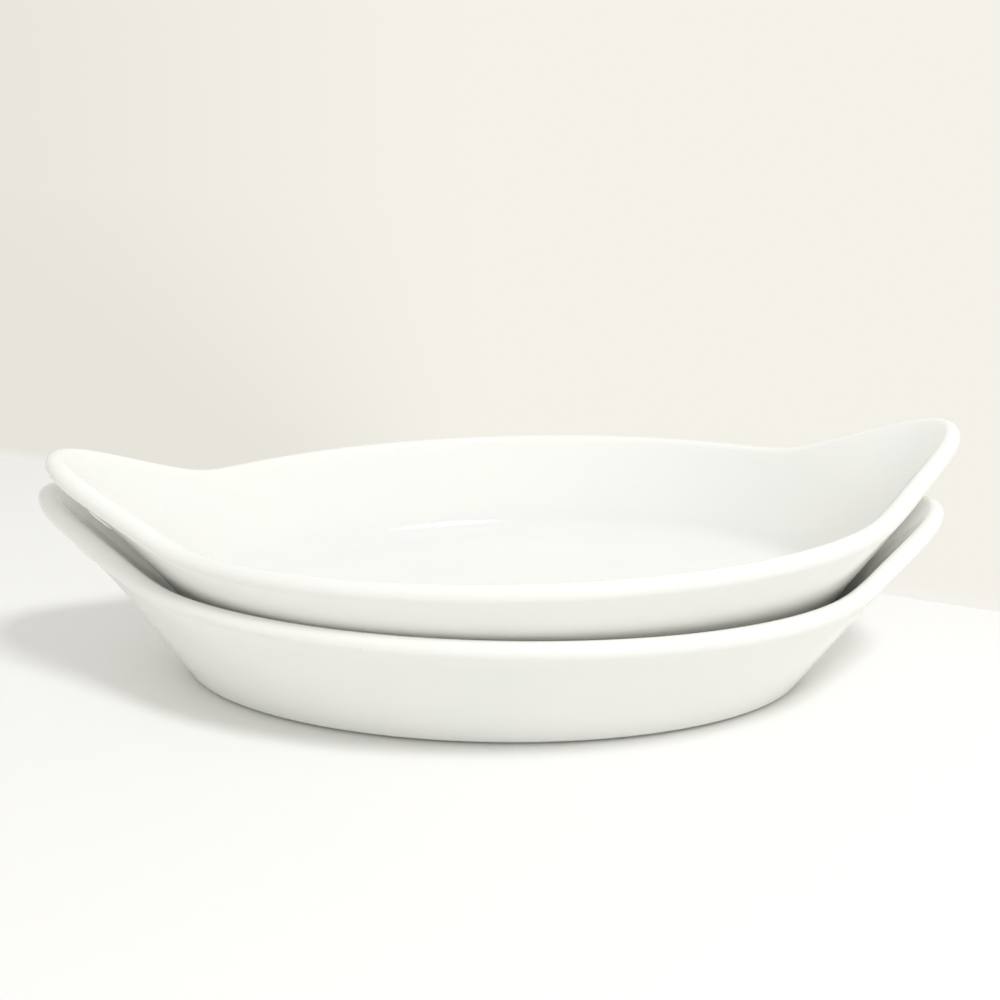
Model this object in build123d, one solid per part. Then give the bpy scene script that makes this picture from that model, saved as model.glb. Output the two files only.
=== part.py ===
from build123d import *
from functools import cache
from math import acos, atan2, cos, hypot, pi, sin
import os

# Oval eared gratin dish in white glazed porcelain, two of one pattern, one standing in the other.
# Millimetres. X runs along the dish from ear to ear, Y across it and Z up.
# The origin is the middle of the stack's outline, on the table.

# Bowl: outer ellipse of the wall at the height of the side rim, and how far the wall leans out from the table
bowl_length = 240.5
bowl_width = 160.0
rim_height = 35.5
wall_run_end = 22.0
wall_run_side = 20.0

# Foot: outer ellipse where the wall would meet the table if its edge weren't rounded
base_length = bowl_length - 2 * wall_run_end
base_width = bowl_width - 2 * wall_run_side
base_edge_radius = 2.2

# Ears: a second, narrower ellipse that flares out past the bowl's ends. The rim rises towards its tips.
ear_root_reach = 2.75
ear_root_width = 121.0
ear_tip_reach = 22.0
ear_tip_width = 134.6
ear_tip_rise = 17.2
ear_rise_inset = 14.95
ear_rise_blend = 6.0
ear_seam_blend = 6.2
ear_root_length = bowl_length + 2 * ear_root_reach
ear_tip_length = bowl_length + 2 * ear_tip_reach
ear_height = rim_height + ear_tip_rise
ear_rise_start = bowl_length / 2 - ear_rise_inset

# Section of the wall
wall = 5.0
rim_thickness = 5.9
floor_height = 6.0
floor_cove_radius = 9.0

# Underside: a bare foot ring, set in from the base edge and just high enough to lift it off the table,
# round a shallow glazed recess
foot_height = 0.6
foot_ring_inset = 2.0
foot_ring_width = 3.5
foot_recess_depth = 1.2
foot_recess_taper = 1.0

# How the upper dish stands in the lower one: slipped towards +X, a little turned and tilted.
# Its height follows, because it sinks until the walls are this far apart.
nest_slip_x = 7.5
nest_slip_y = -0.4
nest_turn_degrees = 3.8
nest_pitch_degrees = 2.4
nest_roll_degrees = 1.6
nest_clearance = 0.3

# Rings that the body is lofted through, as shares of each arc and of the way up each side of the wall
base_edge_shares = (0, 0.5)
wall_shares = (0, 1 / 6, 2 / 6, 3 / 6, 4 / 6, 5 / 6, 1)
rim_turn_shares = (1 / 6, 2 / 6, 3 / 6, 4 / 6, 5 / 6)
cove_shares = (0.5, 1)
points_per_quarter = 12

# Fineness of slopes taken by small steps, and of heights found by halving
step_share = 0.001
halvings = 24


def mixed(low, high, share):
    return low + (high - low) * share


def ellipse_reach(length, width, turn):
    """Distance from the middle to an ellipse, in the direction of turn."""
    return 0.5 / hypot(cos(turn) / length, sin(turn) / width)


def outer_reach(turn, height):
    """Distance from the middle to the outside of the wall: the larger of bowl and ear, with a soft seam."""
    bowl_share = height / rim_height
    ear_share = (height - rim_height) / (ear_height - rim_height)
    bowl = ellipse_reach(mixed(base_length, bowl_length, bowl_share),
                         mixed(base_width, bowl_width, bowl_share), turn)
    ear = ellipse_reach(mixed(ear_root_length, ear_tip_length, ear_share),
                        mixed(ear_root_width, ear_tip_width, ear_share), turn)
    return (bowl + ear + hypot(bowl - ear, ear_seam_blend)) / 2


def rim_line(x):
    """Height that the wall reaches: level along the sides, then a straight rise to the ear's tip."""
    past = abs(x) - ear_rise_start
    slope = (ear_height - rim_height) / (ear_tip_length / 2 - ear_rise_start)
    return rim_height + slope * (past + hypot(past, ear_rise_blend)) / 2


def halved(low, high, is_below):
    """Value between low and high where is_below turns false."""
    for _ in range(halvings):
        middle = (low + high) / 2
        if is_below(middle):
            low = middle
        else:
            high = middle
    return high


@cache
def edge_height(turn):
    """Height at which the outside of the wall meets the rim line."""
    return halved(0, 2 * ear_height, lambda height: height < rim_line(outer_reach(turn, height) * cos(turn)))


def on_wall(turn, height):
    reach = outer_reach(turn, height)
    return Vector(reach * cos(turn), reach * sin(turn), height)


def outward(turn, height):
    """Unit vector square to the outside of the wall."""
    height_step = rim_height * step_share
    turn_step = pi * step_share
    upwards = on_wall(turn, height + height_step) - on_wall(turn, height - height_step)
    along = on_wall(turn + turn_step, height) - on_wall(turn - turn_step, height)
    return along.cross(upwards).normalized()


def upward(turn, height):
    """Unit vector up along the wall."""
    turn_step = pi * step_share
    along = on_wall(turn + turn_step, height) - on_wall(turn - turn_step, height)
    return outward(turn, height).cross(along).normalized()


@cache
def shoulder_height(turn):
    """Height on the outside of the wall where the round of the rim begins."""
    edge = edge_height(turn)
    return edge - upward(turn, edge).Z * rim_thickness / 2


def thickness(turn, height):
    """Thickness behind a point of the outside, which grows a little towards the rim."""
    return mixed(wall, rim_thickness, (height / shoulder_height(turn)) ** 3)


def turn_at(quarters):
    """Direction after so many quarters of a ring, in steps that are closer together at the ears."""
    step = quarters * pi / 2
    return atan2(bowl_width * sin(step), bowl_length * cos(step))


def quarter_ring(point_at, quarter):
    """Smooth edge from one plane of symmetry to the next, which it crosses at the ring's own slope."""
    marks = [k / points_per_quarter for k in range(points_per_quarter + 1)]
    points = [point_at(turn_at(quarter + mark)) for mark in marks]
    slopes = [(point_at(turn_at(end + step_share)) - point_at(turn_at(end - step_share))) / (2 * step_share)
              for end in (quarter, quarter + 1)]
    return Edge.make_spline(points, tangents=slopes, parameters=marks, scale=False)


def ring(point_at):
    return Wire([quarter_ring(point_at, quarter) for quarter in range(4)])


def rings(point_at, shares):
    return [ring(lambda turn: point_at(turn, share)) for share in shares]


def turned_down(square_out, share):
    """Unit vector a share of the way from square_out to straight down."""
    turn = acos(-square_out.Z) * (1 - share)
    level_out = Vector(square_out.X, square_out.Y, 0).normalized()
    return level_out * sin(turn) - Vector(0, 0, cos(turn))


def base_edge_height(turn):
    """Height on the outside of the wall where the round of the base edge ends."""
    return foot_height + base_edge_radius * (1 + outward(turn, base_edge_radius).Z)


def base_edge_point(turn, share):
    """Point on the round of the base edge, a share of the way from the underside to the wall."""
    square_out = outward(turn, base_edge_radius)
    beside_wall = on_wall(turn, base_edge_height(turn)) - square_out * base_edge_radius
    centre = Vector(beside_wall.X, beside_wall.Y, foot_height + base_edge_radius)
    return centre + turned_down(square_out, 1 - share) * base_edge_radius


def outer_point(turn, share):
    """Point outside the wall, a share of the way from the base edge to the round of the rim."""
    return on_wall(turn, mixed(base_edge_height(turn), shoulder_height(turn), share))


def rim_point(turn, share):
    """Point on the round of the rim, a share of the half turn from outside to inside."""
    height = shoulder_height(turn)
    sideways = outward(turn, height) * rim_thickness / 2
    upwards = upward(turn, height) * rim_thickness / 2
    centre = on_wall(turn, height) - sideways
    return centre + sideways * cos(pi * share) + upwards * sin(pi * share)


def cove_height(turn):
    """Height on the outside of the wall that lies behind the top of the floor's cove."""
    lean = outward(turn, floor_height).Z
    return floor_height + floor_cove_radius + lean * (wall + floor_cove_radius)


def inner_point(turn, share):
    """Point inside the wall, a share of the way from the cove to the round of the rim."""
    height = mixed(cove_height(turn), shoulder_height(turn), share)
    return on_wall(turn, height) - outward(turn, height) * thickness(turn, height)


def cove_point(turn, share):
    """Point on the cove between wall and floor, a share of the way down to the flat floor."""
    square_out = outward(turn, cove_height(turn))
    beside_wall = inner_point(turn, 0) - square_out * floor_cove_radius
    centre = Vector(beside_wall.X, beside_wall.Y, floor_height + floor_cove_radius)
    return centre + turned_down(square_out, share) * floor_cove_radius


def dish_body():
    """The fired piece, lofted from ring to ring: base edge, wall, round rim, inside wall, cove and floor."""
    outside = rings(base_edge_point, base_edge_shares) + rings(outer_point, wall_shares)
    inside = rings(inner_point, reversed(wall_shares)) + rings(cove_point, cove_shares)
    return Solid.make_loft(outside + rings(rim_point, rim_turn_shares) + inside, ruled=True)


def foot_oval(inset):
    """Oval on the table, this far in from where the round of the base edge begins."""
    return Ellipse(base_length / 2 - base_edge_radius - inset, base_width / 2 - base_edge_radius - inset)


def foot():
    """Low oval pad that the dish stands on, sunk half-way into the floor. The recess makes a ring of it."""
    return extrude(foot_oval(foot_ring_inset), (foot_height + floor_height) / 2)


def foot_recess():
    """Shallow space under the floor, inside the foot ring."""
    inset = foot_ring_inset + foot_ring_width
    roof = foot_oval(inset + foot_recess_taper)
    return loft([foot_oval(inset), Pos(0, 0, foot_recess_depth) * roof])


def gratin_dish():
    return dish_body() + foot() - foot_recess()


def nest_pose(lift):
    """Place of the upper dish, when its foot is raised by lift at the middle."""
    tilt = Rot(0, 0, nest_turn_degrees) * Rot(0, -nest_pitch_degrees, 0) * Rot(nest_roll_degrees, 0, 0)
    return Pos(nest_slip_x, nest_slip_y, lift) * tilt


def room_around(point):
    """Room between a point of the upper dish and the inside of the lower one."""
    turn = atan2(point.Y, point.X)
    square_out = outward(turn, point.Z)
    above_cove = point.Z - floor_height - floor_cove_radius * (1 + square_out.Z)
    if point.Z > edge_height(turn):
        return above_cove
    towards_wall = square_out.X * cos(turn) + square_out.Y * sin(turn)
    to_outside = (outer_reach(turn, point.Z) - hypot(point.X, point.Y)) * towards_wall
    return min(to_outside - thickness(turn, point.Z), above_cove)


def is_stuck(lift):
    """Whether the upper dish, at this lift, is nearer to the lower one than the clearance."""
    pose = nest_pose(lift)
    turns = [turn_at(k / points_per_quarter) for k in range(4 * points_per_quarter)]
    outside = [outer_point(turn, share) for turn in turns for share in wall_shares]
    return min(room_around((pose * Pos(*point)).position) for point in outside) < nest_clearance


dish = gratin_dish()
nest_lift = halved(0, ear_height, is_stuck)
stack = {"lower_dish": dish, "upper_dish": nest_pose(nest_lift) * dish}
outline = Compound(children=[Pos(0, 0, 0) * piece for piece in stack.values()]).bounding_box()
to_origin = Pos(-outline.center().X, -outline.center().Y, -outline.min.Z)
print("upper dish stands", round(nest_lift, 2), "mm up; stack moved by", to_origin.position)
os.makedirs("parts", exist_ok=True)
for name, piece in stack.items():
    export_step(to_origin * piece, "parts/" + name + ".step")
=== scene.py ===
# %% [markdown]
# # Two gratin dishes in white porcelain, one standing in the other
# This lesson dresses a finished CAD model. The CAD says where each dish is and how large it is, and nothing
# here moves it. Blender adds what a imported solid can't show: a fine smooth surface, the glaze, the bare
# foot ring, the light and the camera. Everything is in metres, in the CAD model's own frame.

# %% Load the CAD model as a fixed frame
import bpy
from math import pi, radians
from mathutils import Euler, Matrix, Vector
from types import SimpleNamespace


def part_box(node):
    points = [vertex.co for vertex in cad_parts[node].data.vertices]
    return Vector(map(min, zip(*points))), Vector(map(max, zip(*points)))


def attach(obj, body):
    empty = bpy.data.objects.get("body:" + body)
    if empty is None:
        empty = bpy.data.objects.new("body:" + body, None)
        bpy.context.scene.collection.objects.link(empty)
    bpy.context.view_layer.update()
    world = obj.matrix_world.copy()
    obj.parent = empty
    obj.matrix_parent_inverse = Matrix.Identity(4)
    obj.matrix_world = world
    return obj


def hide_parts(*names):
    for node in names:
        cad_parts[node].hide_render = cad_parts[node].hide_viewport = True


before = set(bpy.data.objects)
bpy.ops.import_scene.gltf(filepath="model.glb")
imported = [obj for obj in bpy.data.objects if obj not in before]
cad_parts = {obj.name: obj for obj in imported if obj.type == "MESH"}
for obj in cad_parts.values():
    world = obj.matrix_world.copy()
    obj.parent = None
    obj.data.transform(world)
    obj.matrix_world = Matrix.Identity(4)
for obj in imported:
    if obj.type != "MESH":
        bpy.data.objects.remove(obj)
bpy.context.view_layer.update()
MM = 0.001
scene = bpy.context.scene
scene.view_settings.view_transform = "Standard"

# %% [markdown]
# ## The camera
# A photograph of a dish on a table is taken close up, from a little above the rim, with a slight lean of
# the camera. The view is settled first, because every later choice is judged in it. The lower dish is the
# same on both sides, so the middle of its CAD box is the middle of the dish, and the camera is placed from
# there: the point it looks at, how far back it stands, and three angles.

# %% Camera
lowest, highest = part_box("lower_dish")
dish_middle = Vector(((lowest.x + highest.x) / 2, (lowest.y + highest.y) / 2, 0))
aim = dish_middle + Vector((-1.34, 7.54, 52.0)) * MM
camera_distance = 373.7 * MM
camera_azimuth = radians(-5.73)
camera_elevation = radians(15.27)
camera_roll = radians(2.37)
focal_length = 41.61
sensor_width = 36.0
picture_side = 1000


def camera_turn():
    """Rotation that looks along +Y at azimuth 0, down by the elevation, and leans by the roll."""
    level = Euler((pi / 2 - camera_elevation, 0, camera_azimuth)).to_matrix()
    return level @ Matrix.Rotation(camera_roll, 3, "Z")


camera = bpy.data.objects.new("camera", bpy.data.cameras.new("camera"))
camera.data.lens = focal_length
camera.data.sensor_width = sensor_width
camera.matrix_world = camera_turn().to_4x4()
camera.location = aim + camera_turn() @ Vector((0, 0, camera_distance))
scene.collection.objects.link(camera)
scene.camera = camera
print("camera at", [round(c, 4) for c in camera.location])

# %% [markdown]
# ## Sums as nodes
# The dish is one surface that follows a rule: an oval bowl, and a second narrower oval that flares out of
# it at both ends as the ears. A rule is what Geometry Nodes are good at, but a long formula made of Math
# nodes is hard to read. So these cells define a number that writes its own nodes. Where the lesson adds two
# such numbers, an Add node appears in the tree, and the formula stays as short as it is on paper. The
# material and the light use the same helpers.

# %% One node from its values


def give(tree, value, socket):
    """Link a field to an input, or set the input to a plain value."""
    if isinstance(value, Number):
        tree.links.new(value.socket, socket)
    else:
        socket.default_value = value


def math_node(kind, kept, operation, *values):
    """One Math or Vector Math node with its inputs filled."""
    tree = next(value.tree for value in values if isinstance(value, Number))
    node = tree.nodes.new(kind)
    node.operation = operation
    inputs = [socket for socket in node.inputs if socket.enabled]
    for value, socket in zip(values, inputs):
        give(tree, value, socket)
    output = next(socket for socket in node.outputs if socket.enabled)
    return kept(tree, output)


# %% Numbers and vectors that write their own nodes


def maths(operation, *values):
    return math_node("ShaderNodeMath", Number, operation, *values)


def vector_maths(operation, *values):
    return math_node("ShaderNodeVectorMath", Direction, operation, *values)


class Number:
    """A number at every point of the surface."""

    def __init__(self, tree, socket):
        self.tree = tree
        self.socket = socket

    def __add__(self, other):
        return maths("ADD", self, other)

    def __sub__(self, other):
        return maths("SUBTRACT", self, other)

    def __rsub__(self, other):
        return maths("SUBTRACT", other, self)

    def __mul__(self, other):
        return maths("MULTIPLY", self, other)

    def __truediv__(self, other):
        return maths("DIVIDE", self, other)

    def __rtruediv__(self, other):
        return maths("DIVIDE", other, self)

    __radd__ = __add__
    __rmul__ = __mul__


class Direction(Number):
    """A vector at every point of the surface."""

    def __add__(self, other):
        return vector_maths("ADD", self, other)

    def __sub__(self, other):
        return vector_maths("SUBTRACT", self, other)

    def __mul__(self, number):
        return vector_maths("SCALE", self, number)

    def cross(self, other):
        return vector_maths("CROSS_PRODUCT", self, other)

    def unit(self):
        return vector_maths("NORMALIZE", self)

    def length(self):
        return math_node("ShaderNodeVectorMath", Number, "LENGTH", self)

    def xyz(self):
        node = self.tree.nodes.new("ShaderNodeSeparateXYZ")
        self.tree.links.new(self.socket, node.inputs[0])
        return [Number(self.tree, output) for output in node.outputs]


# %% Short names for what comes up often


def direction(tree, x, y, z):
    node = tree.nodes.new("ShaderNodeCombineXYZ")
    for value, socket in zip((x, y, z), node.inputs):
        give(tree, value, socket)
    return Direction(tree, node.outputs[0])


def mixed(low, high, share):
    return low + (high - low) * share


def root_of_squares(a, b):
    return maths("SQRT", a * a + b * b)


def smooth_step(low, high, value):
    """0 below low, 1 above high, and an even rise between them."""
    tree = value.tree
    node = tree.nodes.new("ShaderNodeMapRange")
    node.interpolation_type = "SMOOTHSTEP"
    give(tree, value, node.inputs["Value"])
    give(tree, low, node.inputs["From Min"])
    give(tree, high, node.inputs["From Max"])
    return Number(tree, node.outputs["Result"])


def always(value, field):
    """A plain value as a field of the tree that field belongs to."""
    return field * 0 + value


# %% [markdown]
# ## The sizes of a dish
# Both dishes come from one mould, so one list of sizes serves them both. They are the driving sizes of the
# CAD model, in millimetres: the foot's oval, the bowl's oval at the height of the side rim, the ear's oval
# at that height and at its tip, and the section of the wall. They become the named inputs of every tree
# below, so that a reader can open the tree in Blender and try another dish.

# %% Sizes
DISH = {
    "Base length": 196.5, "Base width": 120.0,
    "Bowl length": 240.5, "Bowl width": 160.0, "Rim height": 35.5,
    "Ear root length": 246.0, "Ear root width": 121.0,
    "Ear tip length": 284.5, "Ear tip width": 134.6, "Ear tip height": 52.7,
    "Ear rise start": 105.3, "Ear rise blend": 6.0, "Ear seam blend": 6.2,
    "Wall": 5.0, "Rim thickness": 5.9,
    "Floor height": 6.0, "Cove radius": 9.0, "Base edge radius": 2.2,
    "Foot height": 0.6, "Foot ring inset": 2.0, "Foot ring width": 3.5,
    "Recess depth": 1.2, "Recess slope": 3.0,
}
rim_height_rounds = 18
turn_step = radians(0.2)
height_step = 0.05 * MM
print("sizes of a dish:", len(DISH))

# %% [markdown]
# ## Node groups for the outside of the wall
# Every part of the dish, inside and out, is measured from the outside of the wall. One small group answers
# the basic question: at this direction seen from above, and this height, where is the wall? The bowl and
# the ear are both cones on an oval, and the wall is the larger of the two, with a soft seam where they
# meet. A second group takes small steps along and up the wall, and their cross product is the direction
# square to it. A third finds the rim: its height depends on how far out the wall is, and the reach depends
# on the height, so a Repeat Zone goes round that loop until both agree.

# %% A tree with the dish's sizes as its inputs


def socket_kind(value):
    return {float: "NodeSocketFloat", int: "NodeSocketInt", tuple: "NodeSocketVector"}[type(value)]


def tree_with(name, inputs, outputs):
    """An empty tree whose inputs are the dish's sizes and some more, and the fields that they give."""
    tree = bpy.data.node_groups.new(name, "GeometryNodeTree")
    values = {label: size * MM for label, size in DISH.items()}
    values.update(inputs)
    for label, value in values.items():
        socket = tree.interface.new_socket(name=label, in_out="INPUT", socket_type=socket_kind(value))
        socket.default_value = value
    for label, kind in outputs.items():
        tree.interface.new_socket(name=label, in_out="OUTPUT", socket_type=kind)
    start = tree.nodes.new("NodeGroupInput")
    kinds = {label: Direction if isinstance(value, tuple) else Number for label, value in values.items()}
    given = {label.lower().replace(" ", "_"): kinds[label](tree, start.outputs[label]) for label in values}
    return tree, SimpleNamespace(**given), tree.nodes.new("NodeGroupOutput")


def ask(group, size, outputs, **fields):
    """Put a group into the tree that size belongs to, pass the sizes on, and return its outputs."""
    tree = next(iter(fields.values())).tree
    node = tree.nodes.new("GeometryNodeGroup")
    node.node_tree = group
    for socket in node.inputs:
        name = socket.name.lower().replace(" ", "_")
        give(tree, fields.get(name, getattr(size, name, None)), socket)
    return [kind(tree, node.outputs[label]) for label, kind in outputs.items()]


# %% Where the wall is


def oval_reach(length, width, cosine, sine):
    """Distance from the middle to an oval, in the direction of that cosine and sine."""
    return 0.5 / root_of_squares(cosine / length, sine / width)


def make_wall_group():
    tree, size, end = tree_with("Outside of the wall", {"Turn": 0.0, "Height": 0.0},
                                {"Point": "NodeSocketVector"})
    cosine = maths("COSINE", size.turn)
    sine = maths("SINE", size.turn)
    bowl_share = size.height / size.rim_height
    ear_share = (size.height - size.rim_height) / (size.ear_tip_height - size.rim_height)
    bowl = oval_reach(mixed(size.base_length, size.bowl_length, bowl_share),
                      mixed(size.base_width, size.bowl_width, bowl_share), cosine, sine)
    ear = oval_reach(mixed(size.ear_root_length, size.ear_tip_length, ear_share),
                     mixed(size.ear_root_width, size.ear_tip_width, ear_share), cosine, sine)
    reach = (bowl + ear + root_of_squares(bowl - ear, size.ear_seam_blend)) / 2
    give(tree, direction(tree, reach * cosine, reach * sine, size.height), end.inputs["Point"])
    return tree


wall_group = make_wall_group()
print("the wall's place takes", len(wall_group.nodes), "nodes")


def wall_point(size, turn, height):
    return ask(wall_group, size, {"Point": Direction}, turn=turn, height=height)[0]


# %% Which way the wall faces


def make_facing_group():
    tree, size, end = tree_with("Facing of the wall", {"Turn": 0.0, "Height": 0.0},
                                {"Outward": "NodeSocketVector", "Upward": "NodeSocketVector"})
    ahead = wall_point(size, size.turn + turn_step, size.height)
    behind = wall_point(size, size.turn - turn_step, size.height)
    above = wall_point(size, size.turn, size.height + height_step)
    below = wall_point(size, size.turn, size.height - height_step)
    along = (ahead - behind).unit()
    outward = along.cross((above - below).unit()).unit()
    give(tree, outward, end.inputs["Outward"])
    give(tree, outward.cross(along).unit(), end.inputs["Upward"])
    return tree


facing_group = make_facing_group()
print("its facing takes", len(facing_group.nodes), "nodes")


def wall_facing(size, turn, height):
    """Unit vectors square to the wall and up along it."""
    return ask(facing_group, size, {"Outward": Direction, "Upward": Direction}, turn=turn, height=height)


# %% How high the rim is


def rim_line(size, x):
    """Height that the wall reaches: level along the sides, then a straight rise to the ear's tip."""
    slope = (size.ear_tip_height - size.rim_height) / (size.ear_tip_length / 2 - size.ear_rise_start)
    past = maths("ABSOLUTE", x) - size.ear_rise_start
    return size.rim_height + slope * (past + root_of_squares(past, size.ear_rise_blend)) / 2


def make_rim_group():
    tree, size, end = tree_with("Height of the rim", {"Turn": 0.0}, {"Shoulder height": "NodeSocketFloat"})
    start = tree.nodes.new("GeometryNodeRepeatInput")
    stop = tree.nodes.new("GeometryNodeRepeatOutput")
    start.pair_with_output(stop)
    stop.repeat_items.new("FLOAT", "Height")
    start.inputs["Iterations"].default_value = rim_height_rounds
    give(tree, size.rim_height, start.inputs["Height"])
    x, _, _ = wall_point(size, size.turn, Number(tree, start.outputs["Height"])).xyz()
    give(tree, rim_line(size, x), stop.inputs["Height"])
    edge = Number(tree, stop.outputs["Height"])
    _, upward = wall_facing(size, size.turn, edge)
    give(tree, edge - upward.xyz()[2] * size.rim_thickness / 2, end.inputs["Shoulder height"])
    return tree


rim_group = make_rim_group()
print("node groups", [group.name for group in bpy.data.node_groups])

# %% [markdown]
# ## The dish
# A mould gives the dish its outside and the potter's tools its inside, and the profile runs in one line:
# from the middle of the underside out over the foot ring, round the base edge, up the wall, over the
# rounded rim, down inside, round the cove and in to the middle of the floor. Each stretch of that line is a
# tube of rings, the Cylinder node with no ends, whose points are then set by their own formula. Joined and
# merged, the tubes close into one solid skin. That gives an even mesh with long clean rows, which shades
# far better than a boolean of two solids would. The share up each tube also paints three masks on the
# points, for the material: where the clay is bare, where the glaze is thin and where it has pooled.

# %% Points of the profile
swell_power = 3.0


def lowered(tree, outward, share):
    """Unit vector a share of the way from outward to straight down."""
    x, y, z = outward.xyz()
    turn = maths("ARCCOSINE", z * -1) * (1 - share)
    level = direction(tree, x, y, 0.0).unit()
    return level * maths("SINE", turn) + direction(tree, 0.0, 0.0, maths("COSINE", turn) * -1)


def at_height(tree, point, height):
    x, y, _ = point.xyz()
    return direction(tree, x, y, height)


def base_edge_point(tree, size, turn, share):
    """Point on the round of the base edge, from the underside to the wall, and the height where it ends."""
    outward, _ = wall_facing(size, turn, size.base_edge_radius)
    height = size.foot_height + size.base_edge_radius * (1 + outward.xyz()[2])
    beside_wall = wall_point(size, turn, height) - outward * size.base_edge_radius
    centre = at_height(tree, beside_wall, size.foot_height + size.base_edge_radius)
    return centre + lowered(tree, outward, 1 - share) * size.base_edge_radius, height


def thickness(size, height, shoulder):
    """The wall is thickest at the rim, and most of the growth is near it."""
    swell = maths("POWER", height / shoulder, swell_power)
    return mixed(size.wall, size.rim_thickness, swell)


def inner_point(size, turn, height, shoulder):
    """Point inside the wall, behind this height of its outside, and the direction square to the wall."""
    outward, _ = wall_facing(size, turn, height)
    return wall_point(size, turn, height) - outward * thickness(size, height, shoulder), outward


def rim_point(size, turn, share, shoulder):
    """Half round over the top of the wall."""
    outward, upward = wall_facing(size, turn, shoulder)
    radius = size.rim_thickness / 2
    centre = wall_point(size, turn, shoulder) - outward * radius
    half_turn = share * pi
    out = outward * (radius * maths("COSINE", half_turn))
    return centre + out + upward * (radius * maths("SINE", half_turn))


def foot_oval_point(tree, size, turn, inset, height):
    """Oval on the underside, inset from the base's."""
    cosine = maths("COSINE", turn)
    sine = maths("SINE", turn)
    reach = oval_reach(size.base_length - 2 * inset, size.base_width - 2 * inset, cosine, sine)
    return direction(tree, reach * cosine, reach * sine, height)


# %% One tube of rings


def through(tree, kind, geometry, socket="Geometry"):
    """A new node with the geometry led into it."""
    node = tree.nodes.new(kind)
    tree.links.new(geometry, node.inputs[socket])
    return node


def paint(tree, mesh, name, value):
    """Keep a value on every point, under a name that later nodes and the material can read."""
    node = through(tree, "GeometryNodeStoreNamedAttribute", mesh)
    node.data_type = "FLOAT"
    node.domain = "POINT"
    node.inputs["Name"].default_value = name
    give(tree, value, node.inputs["Value"])
    return node.outputs["Geometry"]


def band(tree, size, rows, point, masks):
    """A tube of rings. Its masks follow the share up the tube, and then its points go where they belong."""
    tube = tree.nodes.new("GeometryNodeMeshCylinder")
    tube.fill_type = "NONE"
    give(tree, size.points_round, tube.inputs["Vertices"])
    tube.inputs["Side Segments"].default_value = rows
    tube.inputs["Radius"].default_value = 1.0
    tube.inputs["Depth"].default_value = 1.0
    mesh = tube.outputs["Mesh"]
    for name, value in masks.items():
        mesh = paint(tree, mesh, name, value)
    place = through(tree, "GeometryNodeSetPosition", mesh)
    give(tree, point, place.inputs["Position"])
    return place.outputs["Geometry"]


# %% Rows of squares along each part of the profile
ROWS = {
    "roof": 10, "recess wall": 6, "foot ring": 18, "foot root": 3, "base edge": 10,
    "outside": 64, "rim": 20, "inside": 56, "cove": 12, "floor": 14,
}
print("rows from the middle of the underside to the middle of the floor:", sum(ROWS.values()))

# %% The underside, from its middle to the wall
bare_shares = (0.35, 0.6)
recess_pool_shares = (0.6, 1.0)
foot_pool_shares = (0.6, 0.0)


def underside_bands(tree, size, turn, share):
    """Recess, foot ring and the round of the base edge."""
    foot_outside = size.base_edge_radius + size.foot_ring_inset
    foot_inside = foot_outside + size.foot_ring_width
    roof_inset = foot_inside + size.recess_slope
    roof = foot_oval_point(tree, size, turn, roof_inset, size.recess_depth)
    recess_height = mixed(size.recess_depth, size.foot_height, smooth_step(0.0, 1.0, share))
    recess_inset = foot_inside + size.recess_slope * (1 - share)
    recess_wall = foot_oval_point(tree, size, turn, recess_inset, recess_height)
    foot_profile = maths("SQRT", maths("SINE", share * pi))
    foot_inset = mixed(foot_inside, foot_outside, share)
    foot_ring = foot_oval_point(tree, size, turn, foot_inset, size.foot_height * (1 - foot_profile))
    foot_root = foot_oval_point(tree, size, turn, foot_outside, size.foot_height)
    edge, _ = base_edge_point(tree, size, turn, share)
    edge_start, _ = base_edge_point(tree, size, turn, always(0, share))
    return [
        band(tree, size, ROWS["roof"], at_height(tree, roof * share, size.recess_depth), {}),
        band(tree, size, ROWS["recess wall"], recess_wall,
             {"pooled_glaze": smooth_step(*recess_pool_shares, share)}),
        band(tree, size, ROWS["foot ring"], foot_ring,
             {"bare_clay": smooth_step(*bare_shares, foot_profile)}),
        band(tree, size, ROWS["foot root"], mixed(foot_root, edge_start, share),
             {"pooled_glaze": smooth_step(*foot_pool_shares, share)}),
        band(tree, size, ROWS["base edge"], edge, {}),
    ]


# %% The wall, over the rim and down to the middle of the floor
outside_pool_shares = (0.2, 0.0)
outside_thin_shares = (0.86, 1.0)
inside_thin_shares = (0.14, 0.0)
inside_pool_shares = (0.8, 1.0)
cove_pool_shares = (1.6, 0.4)


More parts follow.
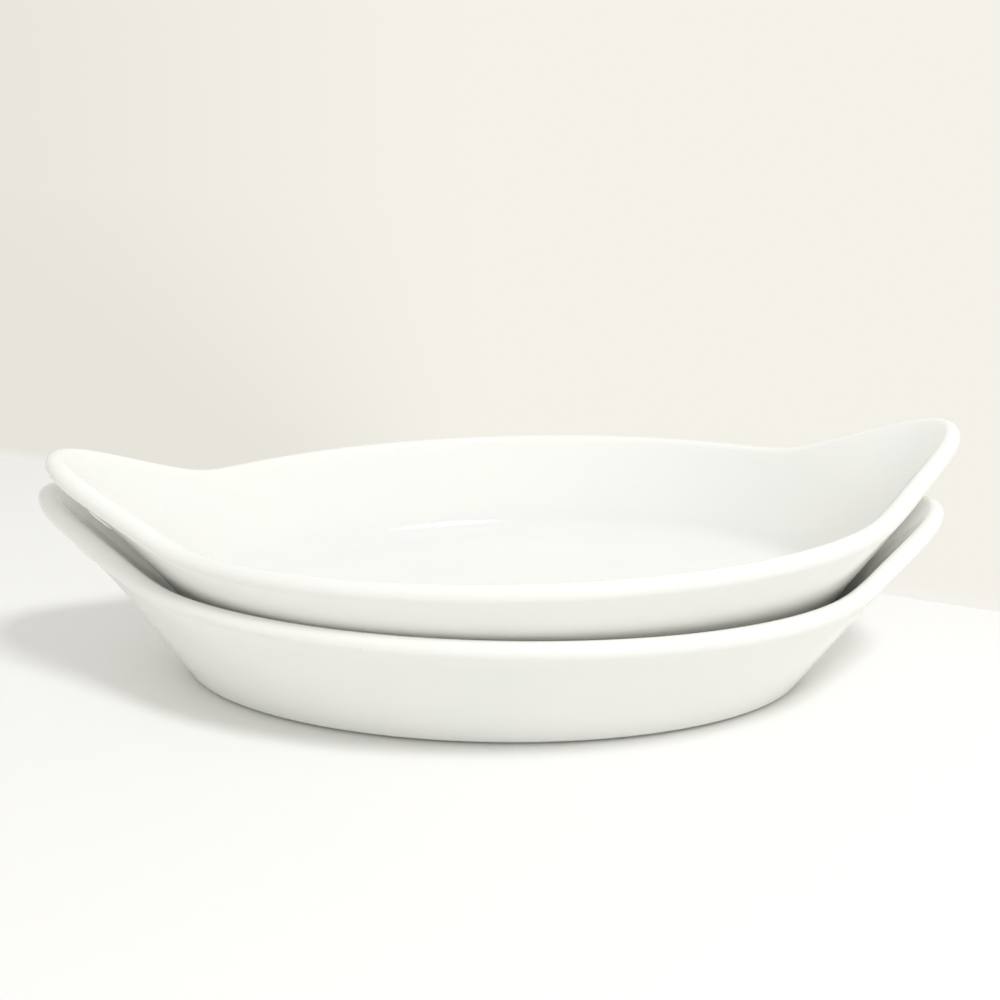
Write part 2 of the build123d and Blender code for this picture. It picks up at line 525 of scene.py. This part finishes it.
def wall_bands(tree, size, turn, share):
    """Outside of the wall, rim, inside of the wall, cove and floor."""
    shoulder = ask(rim_group, size, {"Shoulder height": Number}, turn=turn)[0]
    _, wall_start = base_edge_point(tree, size, turn, share)
    outside = wall_point(size, turn, mixed(wall_start, shoulder, share))
    outward, _ = wall_facing(size, turn, size.floor_height)
    centre_height = size.floor_height + size.cove_radius
    cove_top = centre_height + outward.xyz()[2] * (size.wall + size.cove_radius)
    inside, _ = inner_point(size, turn, mixed(shoulder, cove_top, share), shoulder)
    cove_start, cove_outward = inner_point(size, turn, cove_top, shoulder)
    cove_centre = at_height(tree, cove_start - cove_outward * size.cove_radius, centre_height)
    cove = cove_centre + lowered(tree, cove_outward, share) * size.cove_radius
    floor_edge = cove_centre + lowered(tree, cove_outward, always(1, share)) * size.cove_radius
    return [
        band(tree, size, ROWS["outside"], outside,
             {"thin_glaze": smooth_step(*outside_thin_shares, share),
              "pooled_glaze": smooth_step(*outside_pool_shares, share)}),
        band(tree, size, ROWS["rim"], rim_point(size, turn, share, shoulder),
             {"thin_glaze": always(1, share)}),
        band(tree, size, ROWS["inside"], inside,
             {"thin_glaze": smooth_step(*inside_thin_shares, share),
              "pooled_glaze": smooth_step(*inside_pool_shares, share)}),
        band(tree, size, ROWS["cove"], cove, {"pooled_glaze": smooth_step(*cove_pool_shares, share)}),
        band(tree, size, ROWS["floor"], at_height(tree, floor_edge * (1 - share), size.floor_height), {}),
    ]


# %% Kiln warp
warp_noise_scale = 14.0
warp_noise_detail = 1.0


def warped(tree, mesh, size):
    """Kiln warp: the wall leans in and out by a hair, more towards the rim and not at all at the foot."""
    position = Direction(tree, tree.nodes.new("GeometryNodeInputPosition").outputs[0])
    noise = tree.nodes.new("ShaderNodeTexNoise")
    noise.noise_dimensions = "4D"
    give(tree, position, noise.inputs["Vector"])
    give(tree, size.seed, noise.inputs["W"])
    noise.inputs["Scale"].default_value = warp_noise_scale
    noise.inputs["Detail"].default_value = warp_noise_detail
    x, y, z = position.xyz()
    swing = (Number(tree, noise.outputs[0]) - 0.5) * size.warp * smooth_step(0.0, size.ear_tip_height, z)
    place = through(tree, "GeometryNodeSetPosition", mesh)
    give(tree, direction(tree, x, y, 0.0).unit() * swing, place.inputs["Offset"])
    return place.outputs["Geometry"]


# %% The dish's tree
PLACING = {"Warp": 0.3 * MM, "Seed": 1.0, "Place": (0.0, 0.0, 0.0), "Tilt": (0.0, 0.0, 0.0)}
merge_distance = 0.04 * MM


def finish_tree(tree, geometry, size, material, end):
    """Put the piece in its place in the frame, shade it smooth and give it its material."""
    place = through(tree, "GeometryNodeTransform", geometry)
    give(tree, size.place, place.inputs["Translation"])
    give(tree, size.tilt, place.inputs["Rotation"])
    smooth = through(tree, "GeometryNodeSetShadeSmooth", place.outputs["Geometry"])
    real = through(tree, "GeometryNodeRealizeInstances", smooth.outputs["Geometry"])
    dressed = through(tree, "GeometryNodeSetMaterial", real.outputs["Geometry"])
    dressed.inputs["Material"].default_value = material
    tree.links.new(dressed.outputs["Geometry"], end.inputs["Geometry"])


def make_dish_tree(material):
    tree, size, end = tree_with("Gratin dish", {"Points round": 400, **PLACING},
                                {"Geometry": "NodeSocketGeometry"})
    x, y, z = Direction(tree, tree.nodes.new("GeometryNodeInputPosition").outputs[0]).xyz()
    turn = maths("ARCTAN2", size.bowl_width * y, size.bowl_length * x)
    share = z + 0.5
    bands = underside_bands(tree, size, turn, share) + wall_bands(tree, size, turn, share)
    join = tree.nodes.new("GeometryNodeJoinGeometry")
    for piece in reversed(bands):
        tree.links.new(piece, join.inputs["Geometry"])
    merge = through(tree, "GeometryNodeMergeByDistance", join.outputs["Geometry"])
    merge.inputs["Distance"].default_value = merge_distance
    finish_tree(tree, warped(tree, merge.outputs["Geometry"], size), size, material, end)
    return tree


# %% [markdown]
# ## Ribs under the ears
# The underside of each ear has a shallow moulded relief, which gives wet fingers some hold. Here it is a
# fan of plain half-round ribs. They could be raised out of the wall's own mesh, but its squares are half as
# wide as a rib. So each rib is a ball on a point of a line, and the wall's rule then places the ball's own
# points: its length runs up the wall, its width round it, and half of it stands out. The ribs follow the
# flare of the ear whatever the dish's sizes are. A rib's foot spreads a little, as glaze fills the corner
# there.

# %% Where the ribs are
RIBS = {"Ribs": 7, "Half fan": radians(7.2), "Rib width": 2.5 * MM, "Rib relief": 0.5 * MM,
        "Rib start": 37.5 * MM, "Rib margin": 4.0 * MM, "Rib squareness": 0.6}


def ear_turn(tree, size):
    """Direction of each rib: the first half of them under one ear, the others under the other."""
    index = Number(tree, tree.nodes.new("GeometryNodeInputIndex").outputs[0])
    ear = maths("FLOOR", (index + 0.5) / size.ribs)
    place_in_fan = (index - ear * size.ribs) / (size.ribs - 1) * 2 - 1
    return ear * pi + place_in_fan * size.half_fan


def rib_points(tree, size):
    """A point for every rib, which keeps its direction and the middle and half of its length."""
    line = tree.nodes.new("GeometryNodeMeshLine")
    give(tree, size.ribs * 2, line.inputs["Count"])
    line.inputs["Offset"].default_value = (0.0, 0.0, 0.0)
    turn = ear_turn(tree, size)
    shoulder = ask(rim_group, size, {"Shoulder height": Number}, turn=turn)[0]
    rib_end = shoulder - size.rib_margin
    points = paint(tree, line.outputs["Mesh"], "rib_turn", turn)
    points = paint(tree, points, "rib_middle", (size.rib_start + rib_end) / 2)
    return paint(tree, points, "rib_half_length", (rib_end - size.rib_start) / 2)


def kept_field(tree, name):
    """A value that was kept on the points."""
    node = tree.nodes.new("GeometryNodeInputNamedAttribute")
    node.data_type = "FLOAT"
    node.inputs["Name"].default_value = name
    return Number(tree, node.outputs["Attribute"])


# %% The ribs' tree
ball_segments = 24
rib_thin_shares = (0.4, 1.0)
rib_pool_shares = (0.5, 0.0)
rib_foot_spread = 0.35


def make_rib_tree(material):
    tree, size, end = tree_with("Ribs under the ears", {**RIBS, **PLACING},
                                {"Geometry": "NodeSocketGeometry"})
    ball = tree.nodes.new("GeometryNodeMeshUVSphere")
    ball.inputs["Segments"].default_value = ball_segments
    ball.inputs["Rings"].default_value = ball_segments
    ball.inputs["Radius"].default_value = 1.0
    ribs = through(tree, "GeometryNodeInstanceOnPoints", rib_points(tree, size), "Points")
    tree.links.new(ball.outputs["Mesh"], ribs.inputs["Instance"])
    real = through(tree, "GeometryNodeRealizeInstances", ribs.outputs["Instances"])
    across, outside, along = Direction(tree, tree.nodes.new("GeometryNodeInputPosition").outputs[0]).xyz()
    mesh = paint(tree, real.outputs["Geometry"], "thin_glaze", smooth_step(*rib_thin_shares, outside))
    mesh = paint(tree, mesh, "pooled_glaze", smooth_step(*rib_pool_shares, outside))
    squarer = maths("SIGN", along) * maths("POWER", maths("ABSOLUTE", along), size.rib_squareness)
    height = kept_field(tree, "rib_middle") + squarer * kept_field(tree, "rib_half_length")
    spread = 1 + rib_foot_spread * maths("POWER", 1 - outside, 2.0)
    rib_turn = kept_field(tree, "rib_turn")
    reach = vector_maths("MULTIPLY", wall_point(size, rib_turn, height), (1.0, 1.0, 0.0)).length()
    side_turn = rib_turn - across * spread * size.rib_width / 2 / reach
    outward, _ = wall_facing(size, side_turn, height)
    point = wall_point(size, side_turn, height) + outward * (outside * size.rib_relief)
    place = through(tree, "GeometryNodeSetPosition", mesh)
    give(tree, point, place.inputs["Position"])
    finish_tree(tree, warped(tree, place.outputs["Geometry"], size), size, material, end)
    return tree


# %% [markdown]
# ## From a tree to a plain mesh
# A modifier is live, but the frame wants meshes. So each piece is worked out once, copied into a mesh of
# its own and freed of its modifier. The inputs of a Geometry Nodes modifier are set by the identifier of
# each socket, because two sockets may share a name.

# %% Bake a tree


def baked(name, tree, **values):
    """A plain mesh object made by the tree with these inputs."""
    holder = bpy.data.objects.new(name, bpy.data.meshes.new(name))
    scene.collection.objects.link(holder)
    modifier = holder.modifiers.new("nodes", "NODES")
    modifier.node_group = tree
    for item in tree.interface.items_tree:
        label = item.name.lower().replace(" ", "_")
        if item.in_out == "INPUT" and label in values:
            modifier[item.identifier] = values[label]
    holder.update_tag()
    graph = bpy.context.evaluated_depsgraph_get()
    worked_out = holder.evaluated_get(graph)
    mesh = bpy.data.meshes.new_from_object(worked_out, preserve_all_data_layers=True, depsgraph=graph)
    holder.modifiers.remove(modifier)
    holder.data = mesh
    return holder


def box_of(piece):
    """Lowest and highest corner of a mesh."""
    corners = [[vertex.co[axis] for vertex in piece.data.vertices] for axis in range(3)]
    return Vector([min(values) for values in corners]), Vector([max(values) for values in corners])


# %% [markdown]
# ## The glaze
# White porcelain is a dense white body under a clear glass about a third of a millimetre thick. What the
# eye reads as glaze is small: a sharp reflection that wavers a little because the glass ran in the kiln, a
# colour that is not quite one white, a few specks of iron, a warmer edge where the glaze drew thin over the
# rim and a cooler one where it pooled. One Principled shader holds all that, fed by noise on Object
# coordinates and by the masks that the trees painted. The foot ring was wiped clean before firing, so it is
# matt and a little darker, with the grain of the clay.

# %% Fields for the glaze
noises = {
    "cloud": (18.0, 3.0), "gloss": (60.0, 2.0), "waves": (90.0, 2.0),
    "ripple": (420.0, 1.0), "specks": (900.0, 1.0), "grain": (2200.0, 2.0),
}


def noise_field(tree, name, position):
    """Noise with the scale and detail of that name."""
    node = tree.nodes.new("ShaderNodeTexNoise")
    scale, detail = noises[name]
    node.inputs["Scale"].default_value = scale
    node.inputs["Detail"].default_value = detail
    tree.links.new(position, node.inputs["Vector"])
    return Number(tree, node.outputs[0])


def blended(tree, share, first, second):
    """Colour mixed from two colours or colour fields."""
    node = tree.nodes.new("ShaderNodeMix")
    node.data_type = "RGBA"
    give(tree, share, node.inputs["Factor"])
    for value, name in ((first, "A"), (second, "B")):
        give(tree, value, next(end for end in node.inputs if end.name == name and end.type == "RGBA"))
    return Number(tree, next(end for end in node.outputs if end.type == "RGBA"))


def mask(tree, name):
    """What a tree has painted on the points."""
    node = tree.nodes.new("ShaderNodeAttribute")
    node.attribute_name = name
    return Number(tree, node.outputs["Fac"])


# %% Colour of the glaze and of the bare clay
whites = (0.864, 0.868, 0.843, 1), (0.882, 0.88, 0.85, 1)
thin_white = (0.90, 0.888, 0.855, 1)
pooled_white = (0.835, 0.862, 0.85, 1)
speck_brown = (0.42, 0.33, 0.22, 1)
clays = (0.62, 0.60, 0.55, 1), (0.78, 0.76, 0.71, 1)
cloud_shares = (0.3, 0.7)
speck_shares = (0.79, 0.83)
thin_share = 0.5
pooled_share = 0.35
speck_share = 0.35


def glaze_colour(tree, position):
    cloud = noise_field(tree, "cloud", position)
    white = blended(tree, smooth_step(*cloud_shares, cloud), *whites)
    white = blended(tree, mask(tree, "thin_glaze") * thin_share, white, thin_white)
    white = blended(tree, mask(tree, "pooled_glaze") * pooled_share, white, pooled_white)
    specks = smooth_step(*speck_shares, noise_field(tree, "specks", position))
    return blended(tree, specks * speck_share, white, speck_brown)


# %% Porcelain
gloss_shares = (0.35, 0.75)
gloss_roughness = 0.07
gloss_haze = 0.05
clay_roughness = 0.75
ripple_share = 0.12
clay_grain_share = 0.6


def make_porcelain():
    material = bpy.data.materials.new("glazed_porcelain")
    material.use_nodes = True
    tree = material.node_tree
    shader = tree.nodes["Principled BSDF"]
    position = tree.nodes.new("ShaderNodeTexCoord").outputs["Object"]
    bare = mask(tree, "bare_clay")
    grain = noise_field(tree, "grain", position)
    colour = blended(tree, bare, glaze_colour(tree, position), blended(tree, grain, *clays))
    give(tree, colour, shader.inputs["Base Color"])
    haze = smooth_step(*gloss_shares, noise_field(tree, "gloss", position)) * gloss_haze
    give(tree, mixed(gloss_roughness + haze, clay_roughness, bare), shader.inputs["Roughness"])
    shader.inputs["IOR"].default_value = 1.52
    shader.inputs["Subsurface Weight"].default_value = 0.08
    shader.inputs["Subsurface Radius"].default_value = (1.0, 0.9, 0.75)
    shader.inputs["Subsurface Scale"].default_value = 1.2 * MM
    waves = noise_field(tree, "waves", position)
    ripple = noise_field(tree, "ripple", position)
    relief = tree.nodes.new("ShaderNodeBump")
    relief.inputs["Distance"].default_value = 0.06 * MM
    relief.inputs["Strength"].default_value = 0.5
    give(tree, waves + ripple * ripple_share + grain * bare * clay_grain_share, relief.inputs["Height"])
    tree.links.new(relief.outputs["Normal"], shader.inputs["Normal"])
    return material


porcelain = make_porcelain()
print(porcelain.name, "has", len(porcelain.node_tree.nodes), "nodes")

# %% [markdown]
# ## The two dishes
# The lower dish stands square to the frame. The upper one was set down a little askew: turned, dipped
# towards one end and rolled. Those three angles are the CAD model's. Its place isn't typed here: the tilted
# mesh is made once at the origin, without the kiln's warp, and the step from its box to the CAD node's box
# is the place: from middle to middle seen from above, and from underside to underside. So the dish lies on
# its CAD solid by construction. The ribs get the same place and tilt, and the same warp as their dish.

# %% Make the dishes
upper_tilt = (radians(1.6), radians(-2.4), radians(3.8))
dish_tree = make_dish_tree(porcelain)
rib_tree = make_rib_tree(porcelain)


def place_on(node, tilt):
    """Step that brings a tilted dish at the origin onto its CAD node."""
    trial = baked("trial", dish_tree, tilt=tilt, warp=0.0)
    low, high = box_of(trial)
    cad_low, cad_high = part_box(node)
    bpy.data.objects.remove(trial)
    step = (cad_low + cad_high - low - high) / 2
    step.z = cad_low.z - low.z
    difference = (high - low - cad_high + cad_low) / MM
    print(node, "is larger than its CAD box by", [round(d, 3) for d in difference], "mm")
    return tuple(step)


# Body, tilt and kiln seed of each
dishes = {"lower_dish": ("lower", (0.0, 0.0, 0.0), 3.0), "upper_dish": ("upper", upper_tilt, 8.0)}
for node, (body, tilt, seed) in dishes.items():
    place = place_on(node, tilt)
    dish = baked(node + "_glazed", dish_tree, place=place, tilt=tilt, seed=seed)
    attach(dish, body)
    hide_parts(node)
    ribs = baked(node + "_ear_ribs", rib_tree, place=place, tilt=tilt, seed=seed)
    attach(ribs, body)
    for piece in (dish, ribs):
        print(piece.name, "triangles", sum(len(face.vertices) - 2 for face in piece.data.polygons))

# %% [markdown]
# ## Table and room
# The dishes stand on a white table top, and behind it is a warm off-white room. The table's far end is a
# straight line, given by two points of the photograph at its left and right edge, each followed from the
# camera down to the table. Past that line lies a second level sheet. Where it is seen it has the room's
# flat tone, as the world behind it does, so that no edge shows between the two, and to all other light it
# is a pale floor. A standing backdrop would do the same in this one view, but it would hide the dishes from
# behind. The photograph is out of focus there, so the sheet's tone starts out nearer to the table's, and
# the line between the two is soft.

# %% Table
table_end_left = (0, 458)
table_end_right = (1000, 612)
table_white = (0.91, 0.905, 0.89, 1)
table_roughness = 0.55
table_gloss = 0.25
table_depth = 4.0
sheet_reach = 4.0


def on_table(pixel):
    """Point of the table that a pixel of the picture shows."""
    focal_pixels = focal_length / sensor_width * picture_side
    ray = camera_turn() @ Vector((pixel[0] - picture_side / 2, picture_side / 2 - pixel[1], -focal_pixels))
    return camera.location - ray * (camera.location.z / ray.z)


end_left = on_table(table_end_left)
end_right = on_table(table_end_right)
along_end = (end_right - end_left).normalized()
towards_room = Vector((-along_end.y, along_end.x, 0))
print("the table ends", round((end_left - dish_middle).dot(towards_room), 4), "m behind the dishes")


def stage_sheet(name, near, far, material):
    """Level sheet along the table's end, from near to far of it."""
    reach = along_end * sheet_reach
    edges = [end_left + towards_room * distance for distance in (near, far)]
    corners = [edges[0] - reach, edges[0] + reach, edges[1] + reach, edges[1] - reach]
    mesh = bpy.data.meshes.new(name)
    mesh.from_pydata(corners, [], [range(4)])
    mesh.materials.append(material)
    sheet = bpy.data.objects.new(name, mesh)
    scene.collection.objects.link(sheet)
    return sheet


def make_table_material():
    material = bpy.data.materials.new("table_top")
    material.use_nodes = True
    shader = material.node_tree.nodes["Principled BSDF"]
    shader.inputs["Base Color"].default_value = table_white
    shader.inputs["Roughness"].default_value = table_roughness
    shader.inputs["Specular IOR Level"].default_value = table_gloss
    return material


stage_sheet("table_top", -table_depth, 0.0, make_table_material())

# %% Room
room_left = (0.80, 0.775, 0.715, 1)
room_right = (0.905, 0.88, 0.815, 1)
room_turns = (-0.42, 0.08)
room_depth = 6.0
edge_tone = (0.94, 0.93, 0.895, 1)
soft_edge = 25 * MM
room_roughness = 0.9


def room_tone(tree, way):
    """The room is a little darker on the left."""
    share = smooth_step(*room_turns, way.unit().xyz()[0])
    return blended(tree, share, room_left, room_right)


def seen_rays(tree):
    """1 for the rays that show the room itself: from the camera, off gloss and through glass."""
    path = tree.nodes.new("ShaderNodeLightPath")
    direct, gloss, glass = [Number(tree, path.outputs["Is " + kind + " Ray"])
                            for kind in ("Camera", "Glossy", "Transmission")]
    return maths("MAXIMUM", direct, maths("MAXIMUM", gloss, glass))


def make_room_material():
    material = bpy.data.materials.new("room")
    material.use_nodes = True
    tree = material.node_tree
    shader = tree.nodes["Principled BSDF"]
    shader.inputs["Base Color"].default_value = room_right
    shader.inputs["Roughness"].default_value = room_roughness
    tone = tree.nodes.new("ShaderNodeEmission")
    position = Direction(tree, tree.nodes.new("ShaderNodeTexCoord").outputs["Object"])
    x, y, _ = position.xyz()
    beyond = x * towards_room.x + y * towards_room.y - end_left.dot(towards_room)
    clear = 0.5 + smooth_step(0.0, soft_edge, beyond) * 0.5
    give(tree, blended(tree, clear, edge_tone, room_tone(tree, position)), tone.inputs["Color"])
    seen = tree.nodes.new("ShaderNodeMixShader")
    give(tree, seen_rays(tree), seen.inputs[0])
    tree.links.new(shader.outputs[0], seen.inputs[1])
    tree.links.new(tone.outputs[0], seen.inputs[2])
    tree.links.new(seen.outputs[0], tree.nodes["Material Output"].inputs["Surface"])
    return material


room_floor = stage_sheet("room_floor", 0.0, room_depth, make_room_material())

# %% [markdown]
# ## Light
# The picture is high key. The shadows on the table say where the light comes from: they are short, lie to
# the left and a little behind, and keep an edge that can be seen, so one small lamp is high above the
# viewer's right shoulder. They are also pale, so most of the light comes from all round, from a white room.
# That light could be one even tone, but the dishes are brightest where they face the viewer or the far
# side, and a little dimmer and warmer towards both ends, so the world is made of five soft sides that blend
# into each other. The lamp and the room are set so that a white sheet on the table renders about as white
# as it is written.

# %% Lamp
key_place = Vector((0.30, -0.46, 0.95))
key = bpy.data.lights.new("key", "AREA")
key.shape = "DISK"
key.size = 0.24
key.energy = 4.9
key.color = (0.965, 0.97, 1.0)
lamp = bpy.data.objects.new("key", key)
lamp.location = dish_middle + key_place
lamp.rotation_euler = key_place.to_track_quat("Z", "Y").to_euler()
scene.collection.objects.link(lamp)
print("lamp", round(key_place.length, 3), "m from the dishes")

# %% World
room_light = {
    "left": (0.65, 0.6448, 0.5655),
    "right": (0.73, 0.7224, 0.6066),
    "front": (0.94, 0.94, 0.94),
    "back": (0.94, 0.94, 0.94),
    "above": (0.67, 0.67, 0.67),
}


def soft_side(component):
    """Share of one side of the room: full there, none at a right angle to it, and all together one."""
    return maths("POWER", maths("MAXIMUM", component, 0.0), 2.0)


def make_world():
    world = bpy.data.worlds.new("room")
    world.use_nodes = True
    tree = world.node_tree
    way = Direction(tree, tree.nodes.new("ShaderNodeTexCoord").outputs["Generated"])
    x, y, z = way.xyz()
    components = {"left": x * -1, "right": x, "front": y * -1, "back": y, "above": z}
    light = direction(tree, 0.0, 0.0, 0.0)
    for side, component in components.items():
        light = light + direction(tree, *room_light[side]) * soft_side(component)
    colour = blended(tree, seen_rays(tree), light, room_tone(tree, way))
    give(tree, colour, tree.nodes["Background"].inputs["Color"])
    return world


scene.world = make_world()
print("the room lights the dishes from", ", ".join(room_light))
